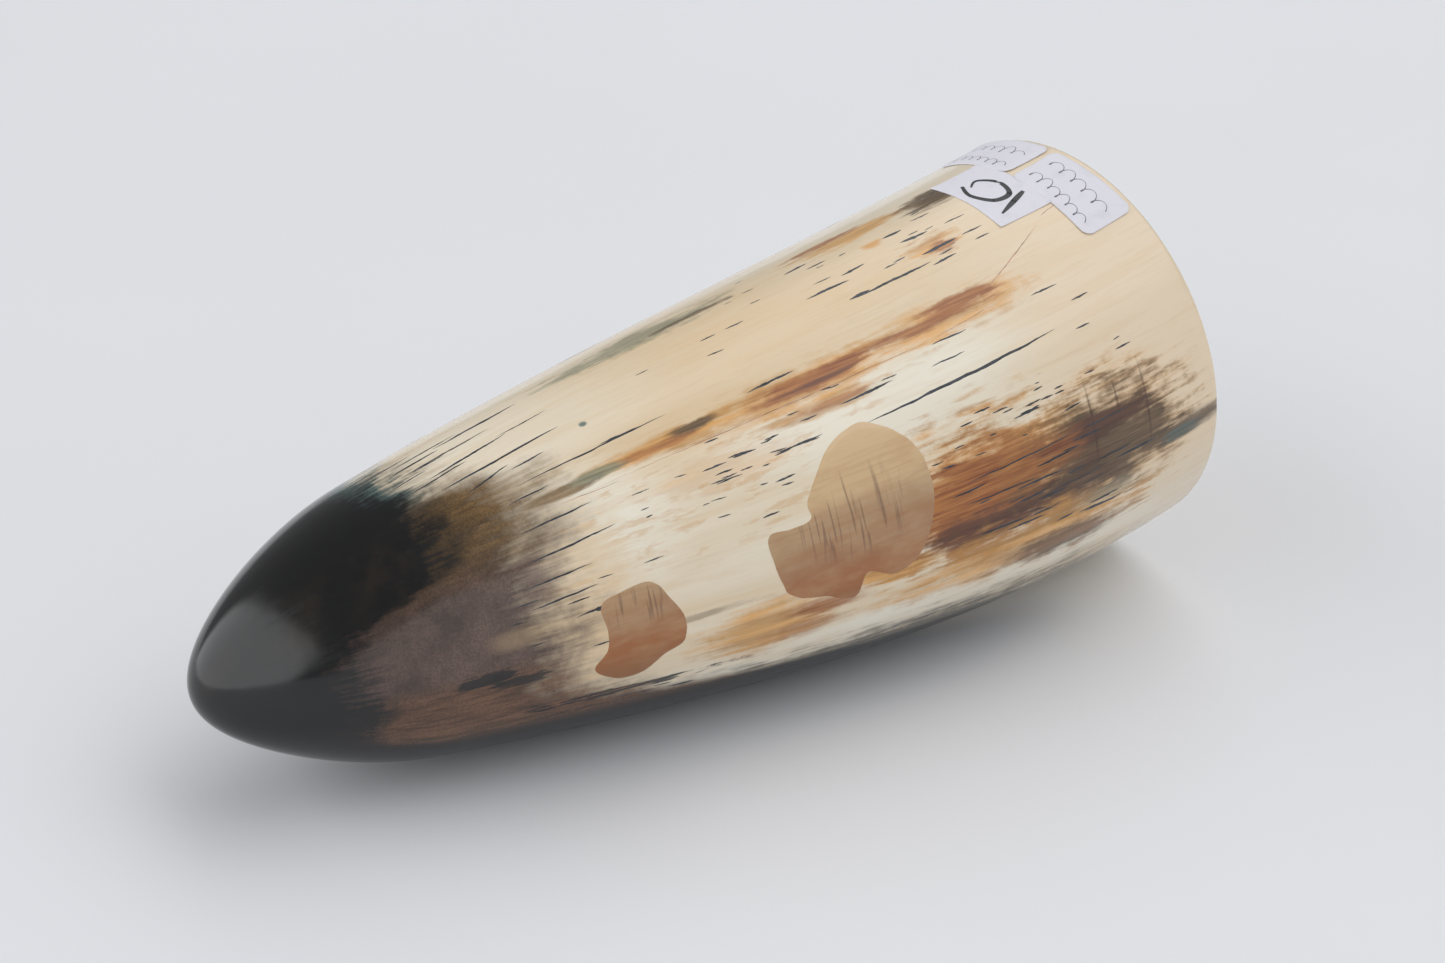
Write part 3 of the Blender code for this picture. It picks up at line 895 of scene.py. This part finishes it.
def paper_material(labels, groups):
    """Matt label paper with fine fibres and slightly grubby patches."""
    material, g, shader = new_material("label paper")
    spot = g.vector("SCALE", g.node("ShaderNodeTexCoord").outputs["Object"], 1 / MM)
    fibre = g.noise(spot, 7.0, 3.0, 0.7)
    grime = g.noise(spot, 0.35, 3.0)
    base = Vector(labels.paper)
    paint = g.mix(g.ramp(fibre, 0.3, 0.7), tuple(base * 0.94), tuple(base))
    paint = g.mix(g.mul(g.ramp(grime, 0.52, 0.75), 0.25), paint, tuple(base * 0.72))
    bump = g.node("ShaderNodeBump", named={"Strength": 0.5, "Distance": 0.02 * MM,
                                           "Height": fibre})
    g.join(paint, shader.inputs["Base Color"])
    g.join(g.math("MULTIPLY_ADD", fibre, 0.15, 0.5), shader.inputs["Roughness"])
    g.join(bump, shader.inputs["Normal"])
    return material


def ink_material(name, base):
    """Ink that breaks up slightly over the paper's fibres."""
    material, g, shader = new_material(name)
    spot = g.vector("SCALE", g.node("ShaderNodeTexCoord").outputs["Object"], 1 / MM)
    broken = g.ramp(g.noise(spot, 6.0, 2.0), 0.4, 0.75)
    g.join(g.mix(broken, tuple(base), tuple(min(1.0, v * 2.2 + 0.03) for v in base)),
           shader.inputs["Base Color"])
    shader.inputs["Roughness"].default_value = 0.45
    return material


# ---------------------------------------------------------------- cracks

# Cracks placed one by one: (run in mm, angle) of the middle, length and width in mm, slope
CRACKS = [
    ((40.4, 49.85), 36.4, 0.62, 0.0375),
    ((41.0, 15.2), 14.0, 0.6, 0.0), ((47.0, 14.8), 4.0, 0.7, 0.05),
    ((31.5, 11.5), 7.0, 0.8, 0.03), ((32.5, 16.3), 5.0, 0.5, 0.03),
    ((93.0, 25.6), 26.0, 0.38, 0.03), ((88.0, 25.0), 8.0, 0.5, 0.0),
    ((104.0, 12.8), 21.0, 0.66, 0.075), ((102.5, -10.6), 15.0, 0.9, 0.03),
    ((113.0, -7.6), 9.0, 0.85, 0.04), ((117.0, -15.0), 11.0, 0.75, 0.03),
    ((107.0, 4.5), 14.0, 0.66, 0.12), ((107.0, 18.7), 8.0, 0.52, 0.25),
    ((115.5, 0.9), 6.6, 0.45, 0.05), ((111.7, -2.5), 6.0, 0.42, 0.03),
    ((101.0, 18.9), 5.8, 0.42, 0.08), ((103.5, 31.2), 7.0, 0.36, 0.06),
    ((102.0, 42.6), 12.0, 0.44, 0.05), ((101.5, 52.8), 15.0, 0.52, 0.077),
    ((104.5, 61.4), 11.0, 0.44, 0.06), ((104.5, 68.9), 11.0, 0.48, 0.08),
    ((99.3, 76.0), 10.0, 0.56, 0.13), ((100.3, 76.6), 1.4, 1.4, 0.0),
    ((109.0, -3.5), 16.0, 0.6, 0.05), ((112.0, 7.5), 10.0, 0.55, 0.10),
    ((110.5, -12.0), 12.0, 0.6, 0.04), ((98.0, 2.0), 9.0, 0.36, 0.05),
    ((66.2, 29.0), 8.6, 0.55, 0.02), ((55.0, 43.2), 9.5, 0.5, 0.03),
    ((50.0, 8.0), 8.0, 0.6, 0.0), ((69.0, 4.6), 2.8, 0.36, 0.0),
    ((64.6, 4.6), 3.4, 0.38, 0.0), ((69.9, 11.6), 3.0, 0.34, -0.06),
    ((67.0, 49.4), 8.0, 0.38, 0.02), ((80.0, 5.7), 2.4, 0.3, 0.0),
    ((40.0, 38.4), 6.4, 0.36, 0.0), ((41.8, 43.9), 6.2, 0.30, 0.0),
    ((23.0, 37.8), 5.5, 0.34, -0.02), ((18.5, 43.7), 3.6, 0.34, 0.0),
    ((20.4, 51.2), 2.8, 0.32, 0.0), ((34.0, 65.8), 5.0, 0.36, 0.0),
    ((74.2, 65.7), 2.8, 0.42, 0.0), ((91.5, 66.4), 3.4, 0.34, 0.03),
    ((34.7, -1.8), 4.0, 0.75, 0.0), ((33.0, 3.8), 5.6, 0.7, -0.04),
    ((44.5, 5.0), 4.8, 0.6, 0.0), ((50.0, -7.7), 4.6, 0.6, 0.06),
    ((25.0, 15.0), 3.0, 0.34, 0.0), ((25.6, 4.6), 4.4, 0.32, 0.0),
    ((37.0, 77.0), 20.0, 0.34, 0.03), ((28.0, 90.0), 14.0, 0.3, 0.02),
    ((40.0, 84.0), 14.0, 0.3, -0.02), ((22.0, 76.5), 10.0, 0.3, 0.0),
]
# Fields of small cracks: run from and to, angle from and to, how many, mean length in mm
FIELDS = [
    ((70, 92), (44, 62), 20, 2.0), ((60, 82), (45, 50), 7, 2.4), ((28, 50), (60, 72), 14, 2.2),
    ((24, 50), (-12, 16), 14, 2.6), ((15, 34), (58, 70), 9, 1.9), ((46, 62), (-18, 4), 6, 2.2),
    ((48, 78), (36, 44), 6, 2.2), ((84, 104), (112, 120), 16, 2.6),
    ((88, 112), (66, 96), 8, 2.4), ((14, 46), (76, 104), 26, 5.0),
    ((60, 112), (-70, -30), 26, 4.5), ((20, 100), (-150, -80), 54, 4.5),
    ((20, 110), (125, 154), 24, 3.5), ((10, 60), (-70, -30), 16, 3.5),
]
# Fine unfilled cracks: as CRACKS
HAIRLINES = [
    ((24.0, 25.5), 18.0, 0.16, 0.34), ((12.5, 17.0), 6.0, 0.14, 0.16),
    ((68.0, 37.6), 62.0, 0.14, 0.012), ((36.0, 36.0), 12.0, 0.12, 0.06),
    ((96.0, 39.0), 10.0, 0.14, -0.03), ((60.0, -100.0), 40.0, 0.14, 0.02),
    ((20.0, -60.0), 22.0, 0.14, 0.22), ((106.0, 113.0), 26.0, 0.18, 0.03),
]


def crack_points(name, cracks, dice):
    """One flat point for each crack, with its extent, slope and a chance number."""
    made = mesh_object(name, [(*on_sheet(*middle), 0.0) for middle, *_ in cracks], [])
    layers = made.data.attributes
    for key, kind in (("extent", "FLOAT_VECTOR"), ("slope", "FLOAT"), ("chance", "FLOAT")):
        layers.new(key, kind, "POINT")
    for index, (_, length, width, lean) in enumerate(cracks):
        layers["extent"].data[index].vector = (length * MM, width * MM, 1.0)
        layers["slope"].data[index].value = lean
        layers["chance"].data[index].value = dice.random()
    return made


def scattered_cracks(dice):
    """Small cracks spread at random over their fields."""
    cracks = []
    for (start, end), (low, high), count, mean in FIELDS:
        for _ in range(count):
            middle = (dice.uniform(start, end), dice.uniform(low, high))
            length = mean * dice.uniform(0.45, 1.8)
            width = min(0.44, 0.20 + 0.04 * length) * dice.uniform(0.8, 1.2)
            cracks.append((middle, length, width, dice.uniform(-0.04, 0.04)))
    return cracks


# ---------------------------------------------------------------- bark islands

# Middle as (run in mm, angle), then the outline in mm, x towards the nose, y to the front
ISLANDS = {
    "bark_island_large": ((62.6, 75.6), [
        (6.0, -5.2), (0.8, -10.7), (-4.6, -12.2), (-9.2, -9.2), (-11.6, -5.2), (-11.8, 1.5),
        (-9.2, 8.2), (-5.0, 10.4), (-0.8, 8.6), (1.2, 12.2), (5.4, 10.4), (10.0, 8.9),
        (12.1, 6.0), (13.1, -1.5), (9.6, -1.8), (6.5, -2.2)]),
    "bark_island_small": ((95.5, 89.7), [
        (4.6, -5.8), (1.2, -6.8), (-2.9, -6.8), (-5.0, -3.8), (-6.7, -0.4), (-6.4, 3.2),
        (-3.7, 4.5), (-0.4, 6.8), (3.3, 6.8), (6.5, 4.1), (4.6, 1.3), (4.3, -1.9)]),
}


def island_sheet(shape, name, middle, outline, dice):
    """A thin flat slab whose edge dips under the skin all round."""
    squeeze = SHEET_RADIUS / girth(shape, middle[0] * MM)
    loop = [Vector((p.x * MM, p.y * MM * squeeze)) for p in smooth_loop(outline)]
    nicks = [dice.uniform(-1.0, 1.0) for _ in loop]
    rough = [(nicks[i - 1] + nicks[i] + nicks[(i + 1) % len(loop)]) / 3 for i in range(len(loop))]
    loop = [p * (1 + 0.010 * r) for p, r in zip(loop, rough)]
    top, edge, under = 0.03 * MM, -0.03 * MM, -0.3 * MM
    profile = [(0.001, top)] + [(k / 12, top) for k in range(1, 12)]
    profile += [(0.985, top * 0.7), (1.0, edge), (1.0, under), (0.6, under), (0.3, under),
                (0.001, under)]
    return slab(name, on_sheet(*middle), loop, profile)


# ---------------------------------------------------------------- labels

# Name: middle as (run in mm, angle), rounded or sharp corners, turn in degrees, layer
LABELS = {
    "square_label": ((16.4, 0.3), False, -1.0, 0.0),
    "price_label": ((6.7, 14.9), True, 1.5, 1.0),
    "stock_label": ((6.5, -17.8), True, -1.0, 1.0),
}


INK_HEIGHT = 0.012 * MM      # of the pen and brush marks over their label


def label_loop(labels, rounded, squeeze, turned):
    """Outline of a label, evenly stepped, with round or sharp corners."""
    corner = labels.corner if rounded else 0.12 * MM
    half = Vector((labels.width / 2 - corner, labels.height / 2 - corner))
    signs = [(1, 1), (-1, 1), (-1, -1), (1, -1)]
    loop = []
    for quarter, (x, y) in enumerate(signs):
        for step in range(7):
            angle = (quarter + step / 6) * pi / 2
            loop.append(Vector((x * half.x + corner * cos(angle),
                                y * half.y + corner * sin(angle))))
        nx, ny = signs[(quarter + 1) % 4]
        goal = Vector((nx * half.x + corner * cos(angle), ny * half.y + corner * sin(angle)))
        start = loop[-1]
        loop += [start.lerp(goal, step / 14) for step in range(1, 14)]
    return [Vector((x * cos(turned) - y * sin(turned),
                    (x * sin(turned) + y * cos(turned)) * squeeze)) for x, y in loop]


def label_floor(labels, layer):
    """Height of a label's underside over the skin. One on layer 1 overlaps its neighbour."""
    return 0.02 * MM + layer * labels.thickness * 0.4


def label_sheet(shape, labels, name):
    (run, angle), rounded, turned, layer = LABELS[name]
    squeeze = SHEET_RADIUS / girth(shape, run * MM)
    loop = label_loop(labels, rounded, squeeze, radians(turned))
    low = label_floor(labels, layer)
    high = low + labels.thickness
    profile = [(0.001, high)] + [(k / 12, high) for k in range(1, 12)]
    profile += [(0.995, high), (1.0, high - 0.02 * MM), (1.0, low), (0.97, low)]
    profile += [(k / 6, low) for k in range(5, 0, -1)] + [(0.001, low)]
    far = max(p.length for p in loop)

    def curl(point):
        """The corners lift a little where the glue has let go."""
        return 0.10 * MM * max(0.0, point.length / far - 0.86) / 0.14

    return slab(name, on_sheet(run, angle), loop, profile, curl)


def stroke_object(name, strokes, height):
    """Flat pen strokes as one curve object. A stroke is a list of (x, y, half width)."""
    curve = bpy.data.curves.new(name, "CURVE")
    curve.dimensions = "3D"
    curve.twist_mode = "Z_UP"
    for stroke in strokes:
        spline = curve.splines.new("POLY")
        spline.points.add(len(stroke) - 1)
        for point, (x, y, half) in zip(spline.points, stroke):
            point.co = (x, y, height, 1.0)
            point.radius = half
    made = bpy.data.objects.new(name, curve)
    bpy.context.collection.objects.link(made)
    return made


def scribble(start, length, height, loops, dice, half=0.09 * MM, steps=14):
    """A line of meaningless loops that only looks like quick handwriting."""
    stroke = []
    sizes = [dice.uniform(0.55, 1.0) for _ in range(loops + 1)]
    for step in range(loops * steps + 1):
        place = step / steps
        tall = height * sizes[min(int(place), loops)]
        phase = place * tau
        stroke.append((tall * 0.5 * sin(phase), length * place / loops
                       + 0.22 * length / loops * cos(phase), half * (0.8 + 0.3 * sin(phase))))
    return [(start.x + x + 0.12 * y, start.y + y, w) for x, y, w in stroke]


def brush_stroke(middle, points, widest):
    """A brush stroke through a few points, swelling in its middle."""
    stroke = []
    for index in range(len(points) - 1):
        a = Vector(points[max(index - 1, 0)])
        b, c = Vector(points[index]), Vector(points[index + 1])
        d = Vector(points[min(index + 2, len(points) - 1)])
        for step in range(9):
            t = step / 8
            place = 0.5 * (2 * b + (c - a) * t + (2 * a - 5 * b + 4 * c - d) * t ** 2
                           + (3 * b - a - 3 * c + d) * t ** 3)
            along = (index + t) / (len(points) - 1)
            half = widest * (0.35 + 0.65 * sin(pi * min(1.0, 0.12 + along * 0.9)))
            stroke.append((middle.x + place.x * MM, middle.y + place.y * MM, half))
    return stroke


# ---------------------------------------------------------------- operators

def shared():
    """Trees, shader groups and the centre line, made once and found again by name."""
    scene = bpy.context.scene
    if "Wrapped piece" not in bpy.data.node_groups:
        wrap = wrap_group(scene.tusk_shape)
        wrapped_tree(wrap)
        sliver_tree(wrap)
        pen_tree(wrap)
        shader_groups()
        centre_line_object(scene.tusk_shape)
    groups = {"place": "Place on the tusk", "streaks": "Streaks", "blotch_mask": "Stain",
              "polish": "Hand polish"}
    trees = bpy.data.node_groups
    return trees, bpy.data.objects["centre line"], {k: trees[v] for k, v in groups.items()}


class TUSK_OT_body(bpy.types.Operator):
    """Makes the tusk's skin, sawn face and nerve canal"""
    bl_idname = "tusk.body"
    bl_label = "Tusk body"

    def execute(self, context):
        shape, look = context.scene.tusk_shape, context.scene.tusk_colours
        trees, line, groups = shared()
        piece = evaluate(body_sheet(shape), trees["Wrapped piece"], (0, 0, 0), shape.nose_dip,
                         Centre_Line=line, Material=ivory_material(look, groups))
        corners = [vertex.co for vertex in piece.data.vertices]
        low = [min(c[axis] for c in corners) for axis in range(3)]
        high = [max(c[axis] for c in corners) for axis in range(3)]
        seat = Vector((-(low[0] + high[0]) / 2, -(low[1] + high[1]) / 2,
                       -low[2] - shape.belly_flat))
        context.scene.tusk_seat = seat
        for vertex in piece.data.vertices:
            vertex.co += seat
            vertex.co.z = max(vertex.co.z, 0.0)
        piece.data.materials.append(sawn_material(look, groups))
        grain = piece.data.attributes["grain"].data
        skin = 0.985 * SHEET_RADIUS / MM
        for face in piece.data.polygons:
            depths = [Vector(grain[index].vector).yz.length for index in face.vertices]
            if max(depths) < skin:
                face.material_index = 1
        settle(piece, ["dentine_core"])
        return {"FINISHED"}


class TUSK_OT_bark(bpy.types.Operator):
    """Makes the two amber islands of bark"""
    bl_idname = "tusk.bark"
    bl_label = "Bark islands"

    def execute(self, context):
        scene = context.scene
        trees, line, groups = shared()
        bark = bark_material(scene.tusk_colours, groups)
        dice = random.Random(4)
        for name, (middle, outline) in ISLANDS.items():
            sheet = island_sheet(scene.tusk_shape, "visible_" + name, middle, outline, dice)
            piece = evaluate(sheet, trees["Wrapped piece"], scene.tusk_seat,
                             scene.tusk_shape.nose_dip, Centre_Line=line, Material=bark)
            settle(piece, [name])
        return {"FINISHED"}


class TUSK_OT_cracks(bpy.types.Operator):
    """Makes the mineral fillings of the cracks, and the fine open cracks"""
    bl_idname = "tusk.cracks"
    bl_label = "Cracks"

    def execute(self, context):
        scene = context.scene
        look = scene.tusk_colours
        trees, line, groups = shared()
        dice = random.Random(12)
        filled = mineral_material("crack mineral", look.mineral, look, groups)
        fine = mineral_material("hairline crack", look.hairline, look, groups)
        kinds = [("crack_slivers", CRACKS + scattered_cracks(dice), filled, 25,
                  [f"crack_filling_{number}" for number in range(1, 7)]),
                 ("hairline_cracks", HAIRLINES, fine, 61, [])]
        for name, cracks, material, steps, stands_for in kinds:
            piece = evaluate(crack_points(name, cracks, dice), trees["Slivers"],
                             scene.tusk_seat, scene.tusk_shape.nose_dip, Centre_Line=line,
                             Material=material, Steps_Along=steps)
            settle(piece, stands_for)
        return {"FINISHED"}


class TUSK_OT_labels(bpy.types.Operator):
    """Makes the three paper labels with their pen and brush marks"""
    bl_idname = "tusk.labels"
    bl_label = "Labels"

    def execute(self, context):
        scene = context.scene
        shape, labels = scene.tusk_shape, scene.tusk_labels
        trees, line, groups = shared()
        paper = paper_material(labels, groups)
        pen = ink_material("ballpoint", labels.pen)
        brush = ink_material("brush ink", labels.brush)
        dice = random.Random(8)
        strokes = {}
        for name, ((run, angle), rounded, _, layer) in LABELS.items():
            piece = evaluate(label_sheet(shape, labels, name), trees["Wrapped piece"],
                             scene.tusk_seat, shape.nose_dip, Centre_Line=line, Material=paper)
            piece.name = "paper_" + name
            settle(piece, [name])
            middle = on_sheet(run, angle)
            top = label_floor(labels, layer) + labels.thickness + INK_HEIGHT
            if rounded:
                rows = [scribble(middle + Vector((x * MM, -6.0 * MM)), 11 * MM, tall * MM,
                                 loops, dice)
                        for x, tall, loops in ((2.0, 2.4, 6), (-2.3, 2.6, 5))]
                strokes[name] = (rows, top, pen)
            else:
                marks = [[(2.2, -3.4), (3.4, -0.6), (1.8, 2.4), (-1.2, 2.6), (-2.2, -0.4),
                          (-0.4, -3.0), (1.6, -2.2)],
                         [(-3.2, 3.4), (-0.4, 4.2), (3.0, 5.2)]]
                rows = [brush_stroke(middle, points, 0.42 * MM) for points in marks]
                strokes[name] = (rows, top, brush)
        for name, (rows, top, ink) in strokes.items():
            piece = evaluate(stroke_object("marks_on_" + name, rows, top),
                             trees["Pen strokes"], scene.tusk_seat, shape.nose_dip,
                             Centre_Line=line, Material=ink)
            settle(piece, [])
        return {"FINISHED"}


def aim(thing, place, target):
    """Puts the camera at a place, looking at a target."""
    thing.location = place
    thing.rotation_euler = (Vector(target) - Vector(place)).to_track_quat("-Z", "Y").to_euler()


def around(azimuth, elevation, distance, target):
    """A place round a target. Azimuth 0 stands in front, in -Y, and turns towards +X."""
    flat = cos(elevation) * distance
    return Vector(target) + Vector((sin(azimuth) * flat, -cos(azimuth) * flat,
                                    sin(elevation) * distance))


class TUSK_OT_stage(bpy.types.Operator):
    """Makes the table, the light of the room and the camera"""
    bl_idname = "tusk.stage"
    bl_label = "Stage"

    # Oval soft boxes round the table: azimuth and elevation of the middle, half width and half
    # height in degrees, width of the soft edge, strength
    PANELS = [(8, 0, 52, 42, 0.10, 0.85),       # front
              (-115, 12, 60, 40, 0.10, 1.8)]    # left

    # Bright ceiling to the right: azimuth from and to, elevation from and to
    CEILING_WAY, CEILING_HEIGHT = (-8, 142), (30, 78)
    CEILING_STRENGTH, ROOM_STRENGTH = 1.46, 0.25
    TINT = (0.975, 0.985, 1.0, 1.0)

    def light(self, g, background):
        """A dim room with a bright ceiling to the right and two soft boxes."""
        x, y, z = g.split(g.node("ShaderNodeTexCoord").outputs["Generated"])
        azimuth = g.math("DEGREES", g.math("ARCTAN2", x, g.mul(y, -1.0)))
        elevation = g.math("DEGREES", g.math("ARCSINE", z))

        def between(value, low, high, soft):
            return g.mul(g.ramp(value, low - soft / 2, low + soft / 2),
                         g.ramp(value, high + soft / 2, high - soft / 2))

        ceiling = g.mul(between(azimuth, *self.CEILING_WAY, 20),
                        between(elevation, *self.CEILING_HEIGHT, 18))
        strength = g.math("MULTIPLY_ADD", ceiling, self.CEILING_STRENGTH,
                          self.ROOM_STRENGTH)
        for stand, height, wide, tall, soft, level in self.PANELS:
            across = g.div(g.math("WRAP", g.sub(azimuth, stand), -180.0, 180.0), wide)
            away = g.vector("LENGTH", g.xyz(across, g.div(g.sub(elevation, height), tall)))
            mask = g.ramp(away, 1.0 + soft / 2, 1.0 - soft / 2)
            strength = g.add(g.mul(strength, g.sub(1.0, mask)), g.mul(mask, level))
        g.join(self.TINT, background.inputs["Color"])
        g.join(strength, background.inputs["Strength"])

    def execute(self, context):
        stage = context.scene.tusk_stage
        table = mesh_object("table", [(-4, -4, 0), (4, -4, 0), (4, 4, 0), (-4, 4, 0)],
                            [(0, 1, 2, 3)])
        material, g, shader = new_material("table top")
        spot = g.node("ShaderNodeTexCoord").outputs["Object"]
        mottle = g.noise(spot, 9.0, 3.0)
        base = Vector(stage.table)
        g.join(g.mix(g.ramp(mottle, 0.3, 0.7), tuple(base * 0.985), tuple(base)),
               shader.inputs["Base Color"])
        shader.inputs["Roughness"].default_value = 0.55
        table.data.materials.append(material)

        middle = (0.0, 0.0, stage.aim_height)
        world = bpy.data.worlds.new("studio")
        context.scene.world = world
        world.use_nodes = True
        self.light(Graph(world.node_tree), world.node_tree.nodes["Background"])

        camera = bpy.data.cameras.new("camera")
        camera.lens = stage.lens
        camera.sensor_width = 36.0
        holder = bpy.data.objects.new("camera", camera)
        context.collection.objects.link(holder)
        aim(holder, around(stage.azimuth, stage.elevation, stage.distance, middle), middle)
        context.scene.camera = holder
        context.scene.view_settings.view_transform = "Standard"
        return {"FINISHED"}


OPERATORS = (TUSK_OT_body, TUSK_OT_bark, TUSK_OT_cracks, TUSK_OT_labels, TUSK_OT_stage)


class TUSK_PT_panel(bpy.types.Panel):
    """Lists the tusk's pieces and their settings"""
    bl_idname = "TUSK_PT_panel"
    bl_label = "Polished Tusk Tip"
    bl_space_type = "VIEW_3D"
    bl_region_type = "UI"
    bl_category = "Tusk"

    def draw(self, context):
        layout = self.layout
        for operator in OPERATORS:
            layout.operator(operator.bl_idname)
        for name in ("tusk_shape", "tusk_colours", "tusk_labels", "tusk_stage"):
            group = getattr(context.scene, name)
            column = layout.box().column()
            for key in group.__annotations__:
                column.prop(group, key)


SETTINGS = {"tusk_shape": TuskShape, "tusk_colours": TuskColours, "tusk_labels": LabelSettings,
            "tusk_stage": StageSettings}


def register():
    for made in (*SETTINGS.values(), *OPERATORS, TUSK_PT_panel):
        bpy.utils.register_class(made)
    for name, group in SETTINGS.items():
        setattr(bpy.types.Scene, name, PointerProperty(type=group))
    bpy.types.Scene.tusk_seat = FloatVectorProperty(
        name="Seat", description="Where the middle of the sawn face lies", unit="LENGTH")


def unregister():
    del bpy.types.Scene.tusk_seat
    for name in SETTINGS:
        delattr(bpy.types.Scene, name)
    for made in reversed((*SETTINGS.values(), *OPERATORS, TUSK_PT_panel)):
        bpy.utils.unregister_class(made)


def main():
    register()
    for operator in OPERATORS:
        group, name = operator.bl_idname.split(".")
        getattr(getattr(bpy.ops, group), name)()
    bpy.data.objects.remove(bpy.data.objects["centre line"])


if __name__ == "__main__":
    main()
